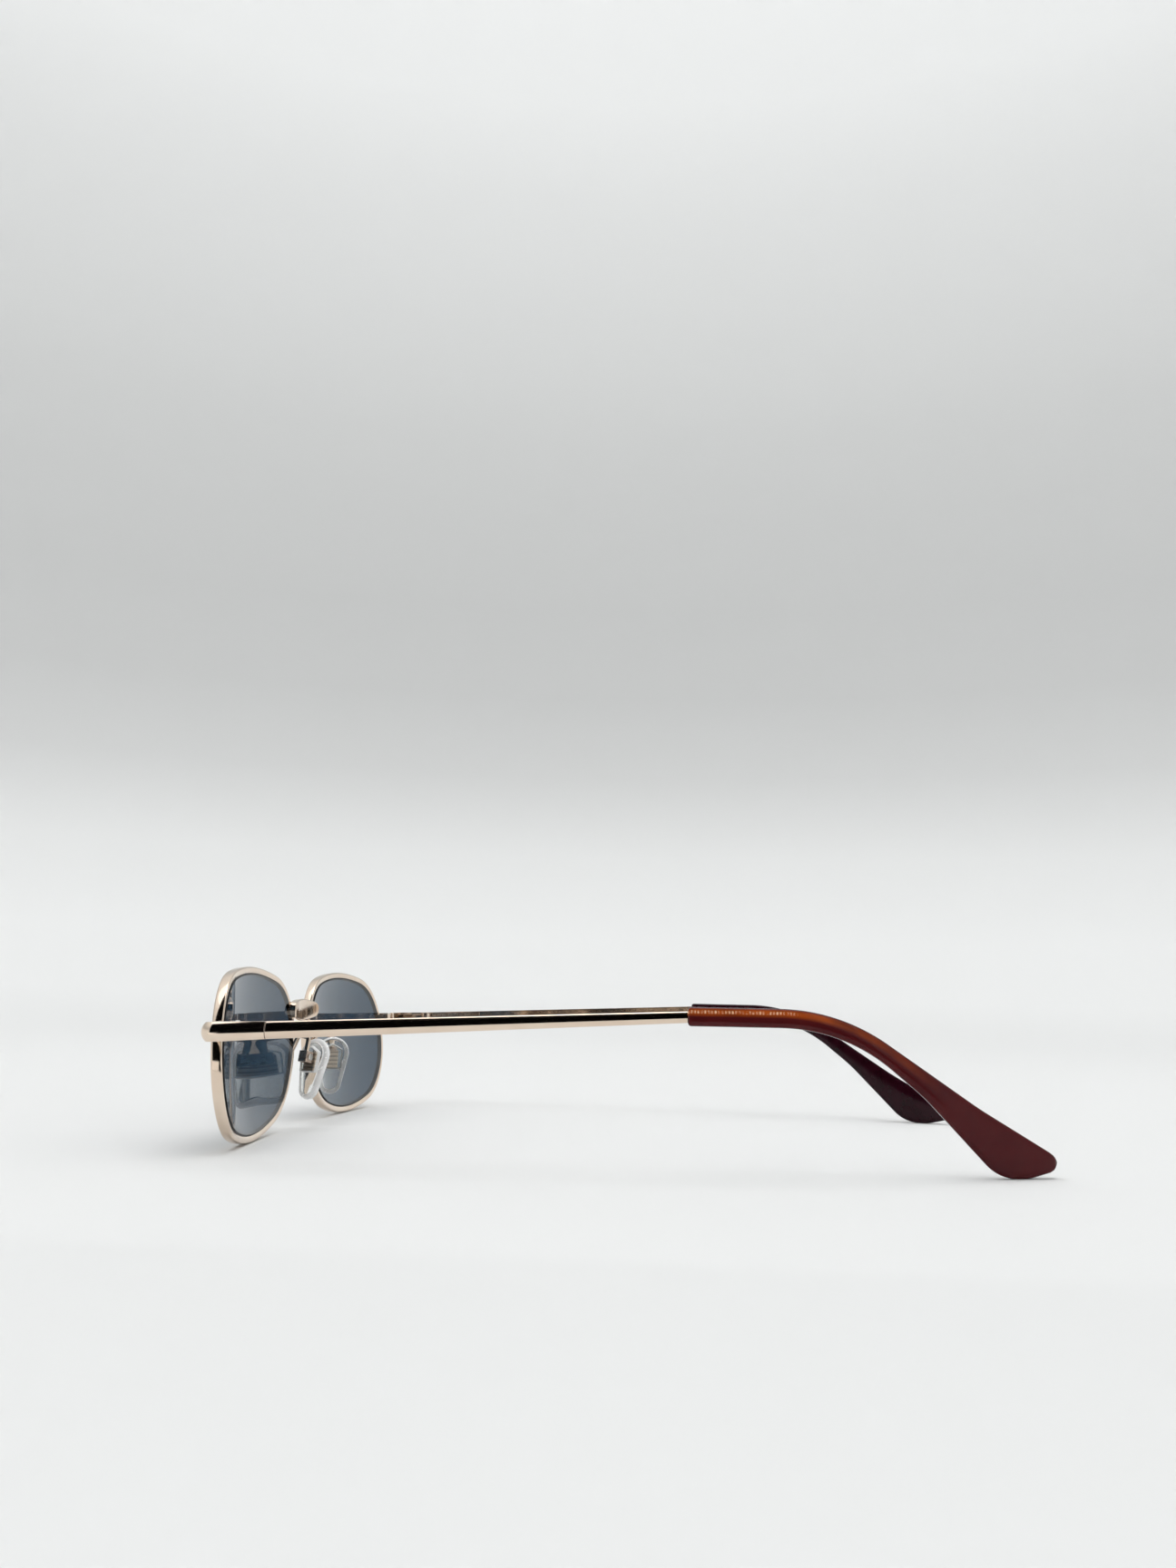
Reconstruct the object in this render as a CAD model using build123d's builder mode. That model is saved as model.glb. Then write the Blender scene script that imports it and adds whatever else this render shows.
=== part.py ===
from build123d import *
import os
from math import cos, radians, sin

# Narrow rectangle sunglasses in millimetres: X to the wearer's left, Y back to the ears, Z up.
# The left half is drawn and mirrored. The origin is on the floor, under the middle of the whole.

# Lens openings and the curved, tilted face that both sides share
lens_width = 52.1
lens_height = 32.3
lens_gap = 13.5
face_radius = 139.0
face_tilt = 4.75
face_wrap = 4.05
corner_radii = (12.5, 15.4, 13.6, 18.0)
corner_shares = ((-1.031, 0.702), (0.80, 0.809), (0.958, -0.687), (-0.724, -0.749))
bow_shares = ((-0.121, 0.991), (0.993, 0.093), (0.121, -0.996), (-0.989, -0.085))

# Eyewires, with the groove for the lens bevel and the slit that the closing block shuts
rim_width = 1.35
rim_depth = 2.1
rim_chamfer = 0.25
groove_depth = 0.45
groove_width = 1.0
slit_gap = 0.15
slit_lift = -0.2

# Lenses
lens_thickness = 1.8
bevel_clearance = 0.05

# Closing blocks behind the slit, with their screw
block_barrel = 2.3
block_reach = 2.2
block_height = 1.25
block_overlap = 0.4
block_side_share = 0.98
rim_screw_radius = 0.55
rim_screw_head_radius = 0.95
rim_screw_head_height = 0.35

# Bars that run along each temple, D-shaped: flat inside and domed outside
end_reach = 9.75
split_back = 13.8
split_gap = 0.1
split_height = 23.3
bar_slope_in = 0.0747
bar_slope_up = 0.0515
bar_run = 74.2
bar_thickness = 1.7
bar_end_thickness = 1.3
bar_height = 3.1
bar_end_height = 2.0
dome_share = 0.47

# End pieces, which turn the corner from the eyewire to the hinge
corner_back = 2.95
corner_bend = 1.7
corner_height = 3.45
lug_back = 1.2
lug_start_share = 0.94

# Barrel hinges: two knuckles on the end piece, one on the temple
barrel_radius = 1.2
barrel_side_gap = 0.1
knuckle_height = 0.9
knuckle_gap = 0.05
leaf_thickness = 0.8
leaf_height = 2.5
leaf_setback = 1.45
leaf_overlap = 0.3
front_leaf_length = 5.4
temple_leaf_length = 13.6
leaf_ramp = 3.0
leaf_toe = 0.2
hinge_screw_radius = 0.6
hinge_head_radius = 0.9
hinge_head_height = 0.4
running_clearance = 0.05

# Core wires of the temples, bent down behind the ears
core_height = 1.3
core_thickness = 0.9
core_straight = 15.0
core_bend_radius = 38.0
core_bend_angle = 39.0
core_tail = 12.0

# Sleeves over the core wires: corners as shares of the sleeve's run and of its top's height, with their radii
tip_run = 66.2
tip_crown = 1.78
tip_thickness = 2.8
tip_end_thickness = 2.2
tip_curl = 9.15
tip_chamfer = 0.6
core_clearance = 0.03
tip_corner_shares = ((0.0, 1.0), (0.402, 1.0), (0.78, 0.42), (1.004, 0.12), (0.99, 0.045),
                     (0.915, 0.0), (0.83, 0.0), (0.63, 0.48), (0.415, 0.884), (0.0, 0.884))
tip_corner_radii = (0, 34.0, 60.0, 1.65, 1.65, 8.0, 8.0, 40.0, 31.0, 0)

# Bridge, lapped behind both eyewires and arched forwards
bridge_level = 25.9
bridge_height = 4.9
bridge_tab_height = 3.6
bridge_reach = 8.7
bridge_lead = 2.15
bridge_thickness = 1.25
bridge_front_sweep = 0.35
bridge_back_sweep = 1.1
bridge_chamfer = 0.25

# Nose pads, each drawn on a splayed and leaning plane that lies on the pad's back
pad_side = 8.2
pad_back = 3.9
pad_level = 13.3
pad_splay = 22.0
pad_lean = 12.0
pad_top_radius = 3.8
pad_foot_radius = 2.5
pad_length = 13.4
pad_thickness = 2.0
pad_nose_chamfer = 0.7
pad_back_chamfer = 0.3

# Housing moulded on each pad's back, and the metal insert inside it with its eyelet standing out
house_width = 4.6
house_height = 4.6
house_roof = 1.3
house_lift = 1.3
house_thickness = 0.9
insert_width = 2.8
insert_height = 4.0
insert_thickness = 0.5
insert_skin = 0.3
eyelet_width = 1.0
eyelet_radius = 0.7

# Screws, slotted, and the clearance of a screw in the piece that holds it
screw_clearance = 0.03
screw_slot_width = 0.3
screw_slot_depth = 0.2

# Pad boxes, their screws and the arms that carry them
box_lift = 2.1
box_gap = 0.3
box_height = 2.4
box_wall = 0.35
box_room = 0.25
box_back_room = 0.15
box_round = 0.2
pad_screw_radius = 0.35
pad_screw_head_radius = 0.7
pad_screw_head_height = 0.35
arm_radius = 0.55
arm_bend = 0.9
arm_rise = 3.0
arm_foot_side = 6.15
arm_foot_back = -1.1
arm_foot_level = 17.0
arm_elbow_side = 6.9
arm_elbow_back = 0.6
arm_elbow_level = 20.4

# How far cutting shapes run past what they cut
overrun = 1.0

os.makedirs("parts", exist_ok=True)

# Places that follow from the sizes
half_width = lens_width / 2
half_height = lens_height / 2
hinge_span = lens_gap + 2 * (lens_width + end_reach)
tilt, wrap = radians(face_tilt), radians(face_wrap)
eye_rise = half_height + rim_width
edge_sag = eye_rise**2 / (2 * face_radius)
front_reach = 2 * eye_rise * sin(tilt) + rim_depth - edge_sag
foot_y = (front_reach - split_back - bar_run - tip_run) / 2
split_y = foot_y + split_back
tip_y = split_y + bar_run

# The lens plane lies on the back of the left eyewire: its x runs outwards, its y up and its z forwards
eye_centre = Vector(
    lens_gap / 2 + half_width * cos(wrap),
    foot_y - eye_rise * sin(tilt),
    eye_rise * cos(tilt) + (rim_depth - edge_sag) * sin(tilt),
)
outward = Vector(1, 0, 0).rotate(Axis.Z, face_wrap)
forward = Vector(0, -1, 0).rotate(Axis.X, face_tilt).rotate(Axis.Z, face_wrap)
eye_plane = Plane(origin=eye_centre, x_dir=outward, z_dir=forward)
curve_centre = eye_centre - forward * face_radius
eye_depth = rim_depth + half_width**2 / face_radius


def eye_face(growth):
    """The outline of the lens opening, grown all round: four bowed sides with rounded corners."""
    width, height = half_width + growth, half_height + growth
    corners = [(x * width, y * height) for x, y in corner_shares]
    bows = [(x * width, y * height) for x, y in bow_shares]
    with BuildSketch(eye_plane) as face:
        with BuildLine():
            for k, bow in enumerate(bows):
                ThreePointArc(corners[k], bow, corners[(k + 1) % len(corners)])
        make_face()
        for corner, radius in zip(corners, corner_radii):
            fillet(face.vertices().sort_by_distance((*corner, 0))[0], radius=radius + growth)
    return face.sketch


def eye_shell(growth, back, front):
    """The grown outline as a plate between two curved faces, back and front ahead of the eyewire's back."""
    with BuildPart() as shell:
        extrude(eye_face(growth), amount=eye_depth, both=True)
        with Locations(curve_centre):
            Sphere(face_radius + front, mode=Mode.INTERSECT)
            Sphere(face_radius + back, mode=Mode.SUBTRACT)
    return shell.part


rim_blank = eye_shell(rim_width, 0, rim_depth)
recess = (rim_depth - lens_thickness) / 2
groove_back = (rim_depth - groove_width) / 2
groove_blank = eye_shell(groove_depth, groove_back, groove_back + groove_width)


def bar_point(run):
    """The middle of the bar, run behind the split."""
    centre_x = (hinge_span - bar_thickness) / 2 - bar_slope_in * run
    return Vector(centre_x, split_y + run, split_height + bar_slope_up * run)


corner = bar_point(corner_back - split_back)
slit_level = (corner.Z + slit_lift - eye_centre.Z) / cos(tilt)

# Eyewire: a grooved ring, slit behind the end piece
with BuildPart() as rim:
    add(rim_blank)
    chamfer(rim.faces().filter_by(GeomType.SPHERE).edges(), length=rim_chamfer)
    extrude(eye_face(0), amount=eye_depth, both=True, mode=Mode.SUBTRACT)
    add(groove_blank, mode=Mode.SUBTRACT)
    with BuildSketch(eye_plane):
        with Locations((half_width, slit_level)):
            Rectangle(2 * (rim_width + groove_depth) + overrun, slit_gap)
    extrude(amount=eye_depth, both=True, mode=Mode.SUBTRACT)

# Lens: a curved plate with a tongue all round that sits in the groove
with BuildPart() as lens:
    add(eye_shell(-bevel_clearance, recess, rim_depth - recess))
    add(eye_shell(groove_depth - bevel_clearance, groove_back + bevel_clearance,
                  groove_back + groove_width - bevel_clearance))


def headed_screw(plane, radius, length, head_radius, head_height, sunk):
    """A slotted screw from the plane along its z, with that much of its head sunk."""
    with BuildPart() as screw:
        with BuildSketch(plane):
            Circle(radius)
        extrude(amount=length)
        with BuildSketch(plane.offset(length - sunk)):
            Circle(head_radius)
        extrude(amount=head_height)
        with BuildSketch(plane.offset(length - sunk + head_height)):
            Rectangle(2 * head_radius, screw_slot_width)
        extrude(amount=-screw_slot_depth, mode=Mode.SUBTRACT)
    return screw


def bar_section(plane, height, thickness):
    """The bar's D-shaped section, with its dome towards the plane's x."""
    dome = dome_share * thickness
    with BuildSketch(plane) as section:
        with BuildLine():
            flat = Polyline((thickness / 2 - dome, height / 2), (-thickness / 2, height / 2),
                            (-thickness / 2, -height / 2), (thickness / 2 - dome, -height / 2))
            ThreePointArc(flat @ 1, (thickness / 2, 0), flat @ 0)
        make_face()
    return section.sketch


def cross_plane(run):
    """The plane across the glasses where the bar has run that far behind the split."""
    return Plane(origin=bar_point(run), x_dir=(1, 0, 0), z_dir=(0, 1, 0))


# End piece: out from the eyewire, round the corner and back to the split, narrowing to the bar's height
lug_start = Vector(eye_centre.X + lug_start_share * half_width, foot_y + lug_back, corner.Z)
lug_way = (corner - lug_start).normalized()
bar_way = (bar_point(0) - corner).normalized()
bend_axis = lug_way.cross(bar_way)
turned = corner + bar_way * (corner_bend + bar_thickness)
with BuildPart() as end_piece:
    with BuildLine() as corner_path:
        FilletPolyline(lug_start, corner, bar_point(overrun), radius=corner_bend)
    lug_plane = Plane(origin=lug_start, x_dir=lug_way.cross(bend_axis), z_dir=lug_way)
    sweep(bar_section(lug_plane, corner_height, bar_thickness), path=corner_path.line)
    split(bisect_by=cross_plane(-split_gap / 2), keep=Keep.BOTTOM)
    with BuildSketch(Plane.YZ):
        for side in (1, -1):
            with BuildLine():
                Polyline(
                    (turned.Y, turned.Z + side * corner_height / 2),
                    (split_y, split_height + side * bar_height / 2),
                    (split_y, split_height + side * corner_height),
                    close=True,
                )
            make_face()
    extrude(amount=hinge_span, mode=Mode.SUBTRACT)
    add(rim_blank, mode=Mode.SUBTRACT)

# Closing blocks: their plane lies in the slit, with x outwards and y to the back
block_side = block_side_share * half_width
block_sag = (block_side**2 + slit_level**2) / (2 * face_radius)
block_plane = Plane(
    origin=eye_plane.from_local_coords((block_side, slit_level, -block_sag)),
    x_dir=outward,
    z_dir=eye_plane.y_dir,
)
block_offset = slit_gap / 2


def closing_block(start, height):
    """Half of the closing block: a barrel joined to the back of the eyewire, bored for the rim screw."""
    with BuildPart() as block:
        with BuildSketch(block_plane.offset(start)):
            with Locations((0, (block_reach - block_overlap) / 2)):
                Rectangle(block_barrel, block_reach + block_overlap)
            with Locations((0, block_reach)):
                Circle(block_barrel / 2)
                Circle(rim_screw_radius + screw_clearance, mode=Mode.SUBTRACT)
        extrude(amount=height)
        add(rim_blank, mode=Mode.SUBTRACT)
        add(end_piece.part, mode=Mode.SUBTRACT)
    return block


closing_block_upper = closing_block(block_offset, block_height)
closing_block_lower = closing_block(-block_offset, -block_height)

# Rim screw, which draws the two blocks together
rim_screw_plane = Plane(
    origin=block_plane.from_local_coords((0, block_reach, -block_offset - block_height)),
    x_dir=block_plane.x_dir,
    z_dir=block_plane.z_dir,
)
rim_screw = headed_screw(rim_screw_plane, rim_screw_radius, 2 * (block_offset + block_height),
                         rim_screw_head_radius, rim_screw_head_height, 0)

# Hinge: the pivot stands inside the bar's flat face, at the split
inner_x = hinge_span / 2 - bar_thickness
pivot = (inner_x - barrel_side_gap - barrel_radius, split_y)
knuckle_step = knuckle_height + knuckle_gap
barrel_height = 3 * knuckle_height + 2 * knuckle_gap
barrel_top = split_height + barrel_height / 2
rise_way = Vector(0, 1, bar_slope_up).normalized()
leaf_plane = Plane(
    origin=(inner_x, split_y, split_height),
    x_dir=(1, 0, 0),
    z_dir=Vector(1, 0, 0).cross(rise_way),
)
temple_slope = bar_slope_in - (bar_thickness - bar_end_thickness) / (2 * bar_run)


def hinge_leaf(length, slope, way):
    """A leaf on the bar's flat face, thinned at its end; way is 1 behind the split and -1 ahead of it."""
    near, far = way * leaf_setback, way * (leaf_setback + length)
    ramp = far - way * leaf_ramp
    with BuildPart() as leaf:
        with BuildSketch(leaf_plane):
            with BuildLine():
                Polyline(
                    (leaf_overlap - slope * near, near),
                    (leaf_overlap - slope * far, far),
                    (-slope * far - leaf_toe, far),
                    (-slope * ramp - leaf_thickness, ramp),
                    (-slope * near - leaf_thickness, near),
                    close=True,
                )
            make_face()
        extrude(amount=leaf_height / 2, both=True)
    return leaf.part


def knuckle(level, slope, way):
    """A knuckle centred at that height, with the web that joins it to its leaf."""
    near, far = way * split_gap / 2, way * (leaf_setback + leaf_overlap)
    with BuildPart() as barrel:
        with BuildSketch(Plane.XY.offset(level - knuckle_height / 2)):
            with Locations(pivot):
                Circle(barrel_radius)
            with BuildLine():
                Polyline(
                    (pivot[0], split_y + near),
                    (inner_x + leaf_overlap, split_y + near),
                    (inner_x + leaf_overlap, split_y + far),
                    (inner_x - slope * far - leaf_thickness, split_y + far),
                    close=True,
                )
            make_face()
        extrude(amount=knuckle_height)
    return barrel.part


# Front half of the hinge: a leaf and the outer two knuckles, bored for the screw and its head
with BuildPart() as front_hinge:
    add(hinge_leaf(front_leaf_length, bar_slope_in, -1))
    for level in (split_height - knuckle_step, split_height + knuckle_step):
        add(knuckle(level, bar_slope_in, -1))
    with Locations((*pivot, barrel_top)):
        CounterBoreHole(hinge_screw_radius + screw_clearance, hinge_head_radius + screw_clearance,
                        hinge_head_height, depth=barrel_height)
    add(end_piece.part, mode=Mode.SUBTRACT)

# Hinge screw, with its head sunk in the upper knuckle
hinge_screw_plane = Plane(origin=(*pivot, barrel_top - barrel_height))
hinge_screw = headed_screw(hinge_screw_plane, hinge_screw_radius, barrel_height,
                           hinge_head_radius, hinge_head_height, hinge_head_height)

# Sleeve and core share one curve in plan, which leads the bar on and curls inwards
joint = bar_point(bar_run)
tip_top = joint.Z + tip_crown


def plan_strip(start_thickness, end_thickness):
    """A strip along the sleeve's middle, seen from above, thinning towards its end."""
    outer, inner = [], []
    for share in (0, 1 / 2, 1):
        middle = joint.X - bar_slope_in * tip_run * share - tip_curl * share**2
        half = (start_thickness + (end_thickness - start_thickness) * share) / 2
        outer.append((middle + half, tip_y + share * tip_run))
        inner.append((middle - half, tip_y + share * tip_run))
    with BuildSketch(Plane.XY) as strip:
        with BuildLine():
            ThreePointArc(*outer)
            ThreePointArc(*inner)
            Line(outer[0], inner[0])
            Line(outer[2], inner[2])
        make_face()
    return strip.sketch


def core_solid(clearance):
    """The core wire, grown all round by clearance: straight, bent down and straight again."""
    height, thickness = core_height + 2 * clearance, core_thickness + 2 * clearance
    ends = []
    with BuildPart() as wire:
        with BuildSketch(Plane.YZ):
            with BuildLine():
                for side in (1, -1):
                    level = joint.Z + side * height / 2
                    run = Line((tip_y, level), (tip_y + core_straight, level))
                    bend = JernArc(run @ 1, (1, 0), core_bend_radius + side * height / 2, -core_bend_angle)
                    tail = PolarLine(bend @ 1, core_tail + clearance, direction=bend % 1)
                    ends.append((run @ 0, tail @ 1))
                Line(ends[0][0], ends[1][0])
                Line(ends[0][1], ends[1][1])
            make_face()
        extrude(amount=hinge_span / 2)
        extrude(plan_strip(thickness, thickness), amount=tip_top + overrun, mode=Mode.INTERSECT)
    return wire.part


# Temple: the bar, drawn out into the core wire
with BuildPart() as temple:
    loft([
        bar_section(cross_plane(split_gap / 2), bar_height, bar_thickness),
        bar_section(cross_plane(bar_run), bar_end_height, bar_end_thickness),
    ])
    add(core_solid(0))

# Rear half of the hinge: a long leaf and the middle knuckle
with BuildPart() as temple_hinge:
    add(hinge_leaf(temple_leaf_length, temple_slope, 1))
    add(knuckle(split_height, temple_slope, 1))
    with Locations((*pivot, barrel_top)):
        Hole(hinge_screw_radius + running_clearance, depth=barrel_height)
    add(temple.part, mode=Mode.SUBTRACT)

# Temple tip: the sleeve over the core wire, bent down and swelling into a paddle
tip_corners = [(tip_y + run * tip_run, level * tip_top) for run, level in tip_corner_shares]
with BuildPart() as temple_tip:
    with BuildSketch(Plane.YZ) as profile:
        with BuildLine():
            Polyline(*tip_corners, close=True)
        make_face()
        for place, radius in zip(tip_corners, tip_corner_radii):
            if radius:
                fillet(profile.vertices().sort_by_distance((*place, 0))[0], radius=radius)
    extrude(amount=hinge_span / 2)
    extrude(plan_strip(tip_thickness, tip_end_thickness), amount=tip_top + overrun, mode=Mode.INTERSECT)
    mouth = temple_tip.faces().sort_by(Axis.Y)[0]
    sides = temple_tip.faces().filter_by(lambda side: abs(side.normal_at().X) > cos(radians(45)))
    chamfer(sides.edges() - mouth.edges(), length=tip_chamfer)
    add(core_solid(core_clearance), mode=Mode.SUBTRACT)

# Bridge: an arched strip in plan, cut to its front outline and seated against both eyewires
bridge_front = foot_y - bridge_lead
bridge_rear = bridge_front + bridge_thickness
bridge_places = (
    ((-bridge_reach, bridge_front + bridge_front_sweep), (0, bridge_front),
     (bridge_reach, bridge_front + bridge_front_sweep)),
    ((-bridge_reach, bridge_rear + bridge_back_sweep), (0, bridge_rear),
     (bridge_reach, bridge_rear + bridge_back_sweep)),
)
bulge_reach = bridge_reach - bridge_tab_height / 2
with BuildPart() as bridge:
    with BuildSketch(Plane.XY):
        with BuildLine():
            for places in bridge_places:
                ThreePointArc(*places)
            for end in (0, 2):
                Line(bridge_places[0][end], bridge_places[1][end])
        make_face()
    extrude(amount=bridge_level + bridge_height)
    with BuildSketch(Plane.XZ):
        with Locations((0, bridge_level)):
            SlotOverall(2 * bridge_reach, bridge_tab_height)
        with BuildLine():
            for side in (-1, 1):
                shoulder = bridge_level + side * bridge_tab_height / 2
                crown = bridge_level + side * bridge_height / 2
                ThreePointArc((-bulge_reach, shoulder), (0, crown), (bulge_reach, shoulder))
            for end in (-bulge_reach, bulge_reach):
                Line((end, bridge_level - bridge_tab_height / 2), (end, bridge_level + bridge_tab_height / 2))
        make_face()
    extrude(amount=-2 * foot_y, both=True, mode=Mode.INTERSECT)
    chamfer(bridge.edges(), length=bridge_chamfer)
    add(rim_blank, mode=Mode.SUBTRACT)
    add(mirror(rim_blank, about=Plane.YZ, mode=Mode.PRIVATE), mode=Mode.SUBTRACT)

# The pad plane lies on the pad's back: its x runs to the rear, its y up the pad and its z away from the nose
pad_plane = Plane(
    origin=(pad_side, foot_y + pad_back, pad_level),
    x_dir=Vector(0, 1, 0).rotate(Axis.Z, -pad_splay),
    z_dir=Vector(1, 0, 0).rotate(Axis.Y, -pad_lean).rotate(Axis.Z, -pad_splay),
)
pad_axis = Axis(pad_plane.origin, pad_plane.z_dir)
box_foot = house_thickness + box_gap
box_width = eyelet_width + 2 * (box_room + box_wall)
screw_rise = box_foot + box_wall + box_room + pad_screw_radius
box_depth = screw_rise + eyelet_radius + box_back_room + box_wall - box_foot
screw_plane = Plane(
    origin=pad_plane.from_local_coords((0, box_lift, screw_rise)),
    x_dir=pad_plane.y_dir,
    z_dir=pad_plane.x_dir,
)

# Metal insert: a plate moulded into the housing, with an eyelet that stands out into the pad box
plate_foot = house_thickness - insert_skin - insert_thickness
with BuildPart() as pad_insert:
    with BuildSketch(pad_plane.offset(plate_foot)):
        with Locations((0, house_lift)):
            Rectangle(insert_width, insert_height)
    extrude(amount=insert_thickness)
    with BuildSketch(screw_plane):
        Circle(eyelet_radius)
        with Locations((0, (plate_foot - screw_rise) / 2)):
            Rectangle(2 * eyelet_radius, screw_rise - plate_foot)
        Circle(pad_screw_radius + running_clearance, mode=Mode.SUBTRACT)
    extrude(amount=eyelet_width / 2, both=True)

# Nose pad: a rounded drop with a house-shaped boss on its back, moulded round the insert
with BuildPart() as nose_pad:
    with BuildSketch(pad_plane):
        with Locations((0, pad_length / 2 - pad_top_radius)):
            Circle(pad_top_radius)
        with Locations((0, pad_foot_radius - pad_length / 2)):
            Circle(pad_foot_radius)
        make_hull()
    extrude(amount=-pad_thickness)
    chamfer(nose_pad.faces().sort_by(pad_axis)[0].edges(), length=pad_nose_chamfer)
    chamfer(nose_pad.faces().sort_by(pad_axis)[-1].edges(), length=pad_back_chamfer)
    with BuildSketch(pad_plane.offset(-insert_skin)):
        with Locations((0, house_lift)):
            Rectangle(house_width, house_height)
        with BuildLine():
            eaves, ridge = house_lift + house_height / 2, house_lift + house_height / 2 + house_roof
            Polyline((-house_width / 2, eaves), (0, ridge), (house_width / 2, eaves), close=True)
        make_face()
    extrude(amount=insert_skin + house_thickness)
    add(pad_insert.part, mode=Mode.SUBTRACT)
    with BuildSketch(screw_plane):
        Circle(pad_screw_radius + running_clearance)
    extrude(amount=eyelet_width / 2, both=True, mode=Mode.SUBTRACT)

# Pad box: two cheeks joined by a back wall and a top, open towards the pad and downwards
box_roof_rise = box_lift + box_height / 2
box_middle = box_foot + box_depth / 2
with BuildPart() as pad_box:
    with BuildSketch(pad_plane.offset(box_foot)):
        with Locations((0, box_lift)):
            Rectangle(box_width, box_height)
    extrude(amount=box_depth)
    uprights = pad_box.edges().filter_by(Axis(pad_plane.origin, pad_plane.y_dir))
    fillet(uprights.sort_by(pad_axis)[-2:], radius=box_round)
    with BuildSketch(pad_plane.offset(box_foot)):
        with Locations((0, box_lift - box_wall)):
            Rectangle(box_width - 2 * box_wall, box_height)
    extrude(amount=box_depth - box_wall, mode=Mode.SUBTRACT)
    with BuildSketch(screw_plane):
        Circle(pad_screw_radius + screw_clearance)
    extrude(amount=box_width, both=True, mode=Mode.SUBTRACT)

# Pad screw, through both cheeks and the eyelet, with its head to the rear
pad_screw = headed_screw(screw_plane.offset(-box_width / 2), pad_screw_radius, box_width,
                         pad_screw_head_radius, pad_screw_head_height, 0)

# Pad arm: a wire from the back of the eyewire, up, over and down onto the pad box
arm_end = pad_plane.from_local_coords((0, box_roof_rise, box_middle))
arm_turn = pad_plane.from_local_coords((0, box_roof_rise + arm_rise, box_middle))
arm_foot = Vector(arm_foot_side, foot_y + arm_foot_back, arm_foot_level)
arm_elbow = Vector(arm_elbow_side, foot_y + arm_elbow_back, arm_elbow_level)
with BuildPart() as pad_arm:
    with BuildLine():
        FilletPolyline(arm_foot, arm_elbow, arm_turn, arm_end, radius=arm_bend)
    with BuildSketch(Plane(origin=arm_foot, z_dir=arm_elbow - arm_foot)):
        Circle(arm_radius)
    sweep()
    add(rim_blank, mode=Mode.SUBTRACT)

# The left half's pieces by name
paired = {
    "rim": rim,
    "lens": lens,
    "closing_block_upper": closing_block_upper,
    "closing_block_lower": closing_block_lower,
    "rim_screw": rim_screw,
    "end_piece": end_piece,
    "front_hinge": front_hinge,
    "temple_hinge": temple_hinge,
    "hinge_screw": hinge_screw,
    "temple": temple,
    "temple_tip": temple_tip,
    "nose_pad": nose_pad,
    "pad_insert": pad_insert,
    "pad_box": pad_box,
    "pad_screw": pad_screw,
    "pad_arm": pad_arm,
}

# Each piece of the left half and its mirrored twin, then the bridge
for name, piece in paired.items():
    twin = mirror(piece.part, about=Plane.YZ)
    for side, solid in (("left", piece.part), ("right", twin)):
        solid.label = f"{side}_{name}"
        export_step(solid, f"parts/{side}_{name}.step")
bridge.part.label = "bridge"
export_step(bridge.part, "parts/bridge.step")
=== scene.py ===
"""Narrow rectangle sunglasses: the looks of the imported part, in a pale studio at the photograph's angle."""

import logging
import math
from abc import ABC, abstractmethod
from dataclasses import dataclass, replace
from enum import Enum

import bmesh
import bpy
from mathutils import Matrix, Vector
from mathutils.geometry import convex_hull_2d

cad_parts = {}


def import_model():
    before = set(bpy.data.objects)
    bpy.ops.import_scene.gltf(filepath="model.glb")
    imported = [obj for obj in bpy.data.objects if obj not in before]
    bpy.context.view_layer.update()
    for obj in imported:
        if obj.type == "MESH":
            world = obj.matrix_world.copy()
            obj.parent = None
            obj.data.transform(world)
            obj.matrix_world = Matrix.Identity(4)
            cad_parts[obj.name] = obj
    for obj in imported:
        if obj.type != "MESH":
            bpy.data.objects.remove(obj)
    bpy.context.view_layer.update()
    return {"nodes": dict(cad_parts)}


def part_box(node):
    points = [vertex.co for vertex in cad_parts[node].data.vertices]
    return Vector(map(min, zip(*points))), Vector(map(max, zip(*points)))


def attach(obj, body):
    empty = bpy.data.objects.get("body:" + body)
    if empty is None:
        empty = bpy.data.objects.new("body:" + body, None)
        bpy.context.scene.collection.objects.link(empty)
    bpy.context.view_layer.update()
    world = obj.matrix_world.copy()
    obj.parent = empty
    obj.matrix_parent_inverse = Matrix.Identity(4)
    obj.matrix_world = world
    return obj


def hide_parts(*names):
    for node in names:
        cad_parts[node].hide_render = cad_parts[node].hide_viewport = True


log = logging.getLogger("sunglasses")

Colour = tuple[float, float, float]
Point = tuple[float, float, float]
Flat = tuple[float, float]
Socket = bpy.types.NodeSocket

MM = 0.001
NOISE_SPAN: Flat = (0.3, 0.7)
EVEN: Point = (1.0, 1.0, 1.0)


class Side(Enum):
    """The wearer's side that a piece is on, with the sign of its x."""

    LEFT = 1
    RIGHT = -1

    def named(self, piece: str) -> str:
        """The name that a CAD node, body or piece of that kind has on this side."""
        return f"{self.name.lower()}_{piece}"


class Axis(Enum):
    """An axis that stripes cross, by its letter in Blender."""

    Y = "Y"
    Z = "Z"


def scaled(colour: Colour, share: float) -> Colour:
    """The colour made darker, or lighter where the share is over 1."""
    return tuple(channel * share for channel in colour)


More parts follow.
